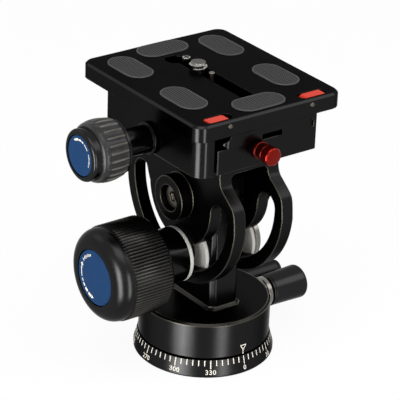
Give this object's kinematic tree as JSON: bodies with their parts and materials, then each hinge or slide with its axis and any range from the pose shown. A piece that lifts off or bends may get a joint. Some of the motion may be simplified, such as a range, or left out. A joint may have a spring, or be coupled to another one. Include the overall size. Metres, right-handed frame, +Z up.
{
  "type": "two-way pan tilt head",
  "caption": "Tripod head that pans on a graduated base and tilts in a slotted yoke, with a screw clamp and a sliding quick-release plate.",
  "frame": {"origin": "on the pan axis at the underside of the base ring, where the tripod's platform touches it", "axes": "+Z up along the pan axis, -Y the front with the release button, -X the side of the two large knobs; the tilt axis runs along X"},
  "size_m": [0.097, 0.0759, 0.1046],
  "materials": {
    "black_anodised": "satin black anodised",
    "black_gloss": "gloss black anodised",
    "black_knob": "satin black grip",
    "steel": "turned stainless",
    "brass": "turned",
    "nylon": "white nylon",
    "rubber": "textured",
    "blue_disc": "printed insert",
    "red_anodised": "red anodised",
    "red_paint": "satin red"
  },
  "bodies": {
    "base": {"base_ring": "black_anodised", "tripod_thread_bush": "steel", "pan_spindle": "steel", "base_screw_1": "steel", "base_screw_2": "steel", "base_screw_3": "steel"},
    "pan": {"pan_housing": "black_anodised", "pan_retaining_ring": "black_anodised", "thrust_washer_lower": "nylon", "thrust_washer_upper": "nylon", "pan_lock_collar": "steel", "rear_plug": "black_knob", "pivot_bush_left": "brass", "pivot_bush_right": "brass", "lock_washer_inner_left": "nylon", "lock_washer_inner_right": "nylon", "lock_washer_outer_right": "nylon", "tilt_lock_bolt": "steel"},
    "pan_shoe": {"pan_brake_shoe": "brass"},
    "pan_knob": {"pan_lock_knob": "black_knob", "pan_lock_screw": "steel"},
    "tilt": {"tilt_yoke": "black_anodised", "pivot_shaft": "steel", "pivot_screw_left": "steel", "pivot_screw_right": "steel", "yoke_screw_1": "steel", "yoke_screw_2": "steel", "clamp_body": "black_anodised", "button_bush": "red_anodised", "release_spring": "steel"},
    "lock_slide": {"tilt_lock_collar": "black_gloss", "lock_washer_outer_left": "nylon"},
    "lock_knob": {"tilt_lock_knob": "black_knob", "tilt_knob_insert": "brass", "tilt_knob_disc": "blue_disc"},
    "jaw": {"clamp_jaw": "black_anodised", "jaw_guide_pin_front": "steel", "jaw_guide_pin_rear": "steel"},
    "jaw_knob": {"clamp_knob": "black_knob", "clamp_knob_stem": "black_gloss", "clamp_knob_disc": "blue_disc", "clamp_screw": "steel"},
    "button": {"release_button": "red_anodised"},
    "catch": {"safety_pin": "steel"},
    "plate": {"quick_release_plate": "black_anodised", "pad_rear_left": "rubber", "pad_rear_middle": "rubber", "pad_rear_right": "rubber", "pad_front_right": "rubber", "pad_front_middle": "rubber", "pad_front_left": "rubber", "stop_screw": "steel", "flip_stop_pin_left": "steel", "flip_stop_pin_right": "steel"},
    "carriage": {"screw_slider": "black_anodised"},
    "screw": {"camera_screw": "steel"},
    "twist_pin": {"anti_twist_pin": "steel"},
    "stop_left": {"flip_stop_left": "red_paint"},
    "stop_right": {"flip_stop_right": "red_paint"}
  },
  "joints": [
    {"name": "pan", "type": "hinge", "parent": "base", "child": "pan", "pos_m": [0, 0, 0.0136], "axis": [0, 0, 1], "continuous": true},
    {"name": "pan_lock_travel", "type": "slide", "parent": "pan", "child": "pan_shoe", "axis": [1, 0, 0], "range_m": [0, 0.0008]},
    {"name": "pan_lock_turn", "type": "hinge", "parent": "pan_shoe", "child": "pan_knob", "pos_m": [0.03, 0, 0.0136], "axis": [1, 0, 0], "range_deg": [0, 360]},
    {"name": "tilt", "type": "hinge", "parent": "pan", "child": "tilt", "pos_m": [0, 0, 0.0625], "axis": [1, 0, 0], "range_deg": [-90, 90]},
    {"name": "tilt_lock_travel", "type": "slide", "parent": "pan", "child": "lock_slide", "axis": [-1, 0, 0], "range_m": [0, 0.001]},
    {"name": "tilt_lock_turn", "type": "hinge", "parent": "lock_slide", "child": "lock_knob", "pos_m": [-0.03, 0, 0.04], "axis": [-1, 0, 0], "range_deg": [0, 360]},
    {"name": "jaw_travel", "type": "slide", "parent": "tilt", "child": "jaw", "axis": [-1, 0, 0], "range_m": [0, 0.004]},
    {"name": "clamp_knob_turn", "type": "hinge", "parent": "jaw", "child": "jaw_knob", "pos_m": [-0.045, 0, 0.0873], "axis": [-1, 0, 0], "range_deg": [0, 1440]},
    {"name": "release_press", "type": "slide", "parent": "tilt", "child": "button", "axis": [0, 1, 0], "range_m": [0, 0.0015], "stiffness_N_per_m": 300},
    {"name": "catch_drop", "type": "slide", "parent": "tilt", "child": "catch", "axis": [0, 0, -1], "range_m": [0, 0.00135]},
    {"name": "plate_slide", "type": "slide", "parent": "tilt", "child": "plate", "axis": [0, 1, 0], "range_m": [-0.008, 0.008]},
    {"name": "carriage_slide", "type": "slide", "parent": "plate", "child": "carriage", "axis": [0, 1, 0], "range_m": [-0.017, 0.005]},
    {"name": "camera_screw_turn", "type": "hinge", "parent": "carriage", "child": "screw", "pos_m": [0.00245, 0.012, 0.1], "axis": [0, 0, 1], "continuous": true},
    {"name": "twist_pin_press", "type": "slide", "parent": "carriage", "child": "twist_pin", "axis": [0, 0, -1], "range_m": [0, 0.0013], "stiffness_N_per_m": 150},
    {"name": "stop_left_flip", "type": "hinge", "parent": "plate", "child": "stop_left", "pos_m": [-0.0147, -0.026, 0.0999], "axis": [0, 1, 0], "range_deg": [0, 90]},
    {"name": "stop_right_flip", "type": "hinge", "parent": "plate", "child": "stop_right", "pos_m": [0.0196, -0.026, 0.0999], "axis": [0, -1, 0], "range_deg": [0, 90]}
  ],
  "couplings": [
    {"joint": "pan_lock_turn", "follows": "pan_lock_travel", "rad_per_m": 7854},
    {"joint": "tilt_lock_turn", "follows": "tilt_lock_travel", "rad_per_m": 6283.2},
    {"joint": "clamp_knob_turn", "follows": "jaw_travel", "rad_per_m": 6283.2},
    {"joint": "catch_drop", "follows": "release_press", "ratio": 0.9}
  ]
}
